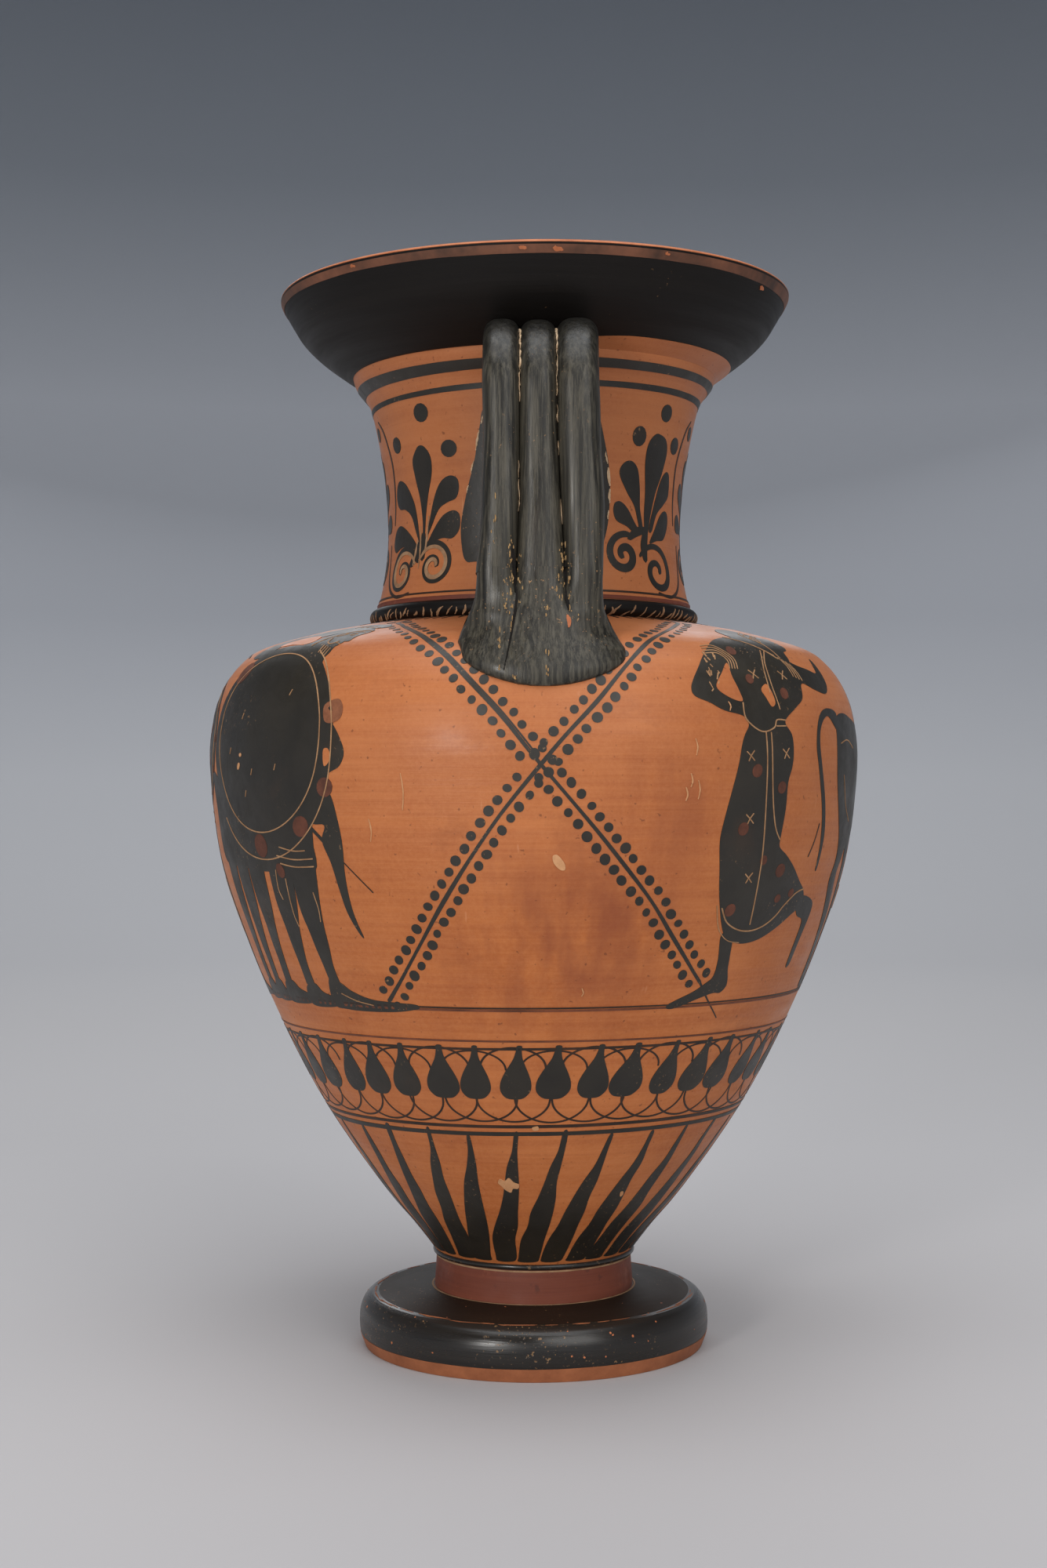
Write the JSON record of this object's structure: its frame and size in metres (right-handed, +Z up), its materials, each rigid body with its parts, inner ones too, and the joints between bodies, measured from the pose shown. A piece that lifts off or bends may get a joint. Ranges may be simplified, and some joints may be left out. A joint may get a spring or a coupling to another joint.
{
  "type": "amphora",
  "caption": "Small neck amphora in fired clay on a disc foot, with a flaring mouth, two triple-coil handles and painted black-figure decoration.",
  "frame": {"origin": "centre of the ring that the foot rests on, at floor height", "axes": "+Z up along the axis of the vase; the two handles stand at -Y (front) and +Y (back); +X is the right-hand side seen from the front handle"},
  "size_m": [0.1604, 0.1604, 0.26],
  "materials": {
    "clay": "burnished orange clay, satin, streaked and worn",
    "black_slip": "glossy greenish-black slip with fine scratches",
    "red_slip": "matt purple-red added colour",
    "bare_clay": "unpainted matt clay inside the body and where the surface is chipped"
  },
  "bodies": {
    "root": {"foot_disc": "black_slip", "foot_stem": "red_slip", "foot_fillet": "black_slip", "body": "clay", "neck": "clay", "neck_ring": "black_slip", "mouth": "black_slip", "handle_front_coil_left": "black_slip", "handle_front_coil_centre": "black_slip", "handle_front_coil_right": "black_slip", "handle_front_neck_root": "black_slip", "handle_front_shoulder_root": "black_slip", "handle_back_coil_left": "black_slip", "handle_back_coil_centre": "black_slip", "handle_back_coil_right": "black_slip", "handle_back_neck_root": "black_slip", "handle_back_shoulder_root": "black_slip"}
  },
  "joints": []
}
